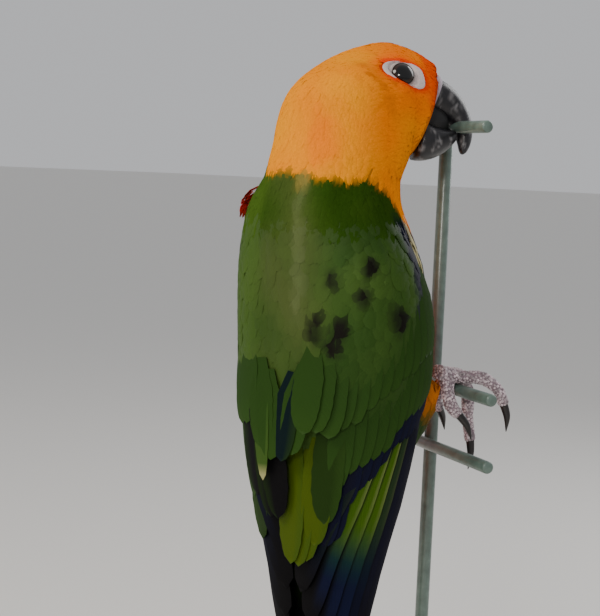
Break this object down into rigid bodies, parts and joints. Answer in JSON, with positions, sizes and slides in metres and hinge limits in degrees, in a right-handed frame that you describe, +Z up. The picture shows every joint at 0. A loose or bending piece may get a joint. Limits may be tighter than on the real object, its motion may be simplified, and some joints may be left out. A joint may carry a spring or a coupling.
{
  "type": "jenday conure",
  "caption": "Small parrot clinging upright to short wires on a flat display stand, wings folded, head turned to its right, bill on a wire",
  "frame": {"origin": "bottom centre of the stand's base", "axes": "+Z is up, the bird's belly faces +Y and its right side faces +X"},
  "size_m": [0.15, 0.124, 0.3156],
  "materials": {
    "green_feather": "soft contour and flight feathers, leaf green, blue-black on the flight feathers",
    "orange_feather": "soft short feathers, yellow-orange with redder face",
    "tail_feather": "long vaned feathers, green at the root to blue-black at the tip",
    "bill_horn": "black keratin with pale scuffs",
    "claw_horn": "dark grey keratin",
    "eye": "dark wet eye",
    "foot_skin": "scaled grey-pink skin",
    "wire": "grey-green hammered powder coat",
    "stand": "dark satin wood"
  },
  "bodies": {
    "root": {"torso": "green_feather", "neck": "orange_feather", "head": "orange_feather", "beak_upper": "bill_horn", "beak_lower": "bill_horn", "tongue": "bill_horn", "eye_right": "eye", "eye_left": "eye", "wing_right": "green_feather", "wing_left": "green_feather", "thigh_right": "orange_feather", "thigh_left": "orange_feather", "foot_right": "foot_skin", "foot_left": "foot_skin", "claw_right_1": "claw_horn", "claw_right_2": "claw_horn", "claw_right_3": "claw_horn", "claw_right_4": "claw_horn", "claw_left_1": "claw_horn", "claw_left_2": "claw_horn", "claw_left_3": "claw_horn", "claw_left_4": "claw_horn", "tail": "tail_feather", "perch_wire_feet": "wire", "perch_wire_lower": "wire", "perch_wire_bill": "wire", "stand_rod": "wire", "stand_base": "stand"}
  },
  "joints": []
}
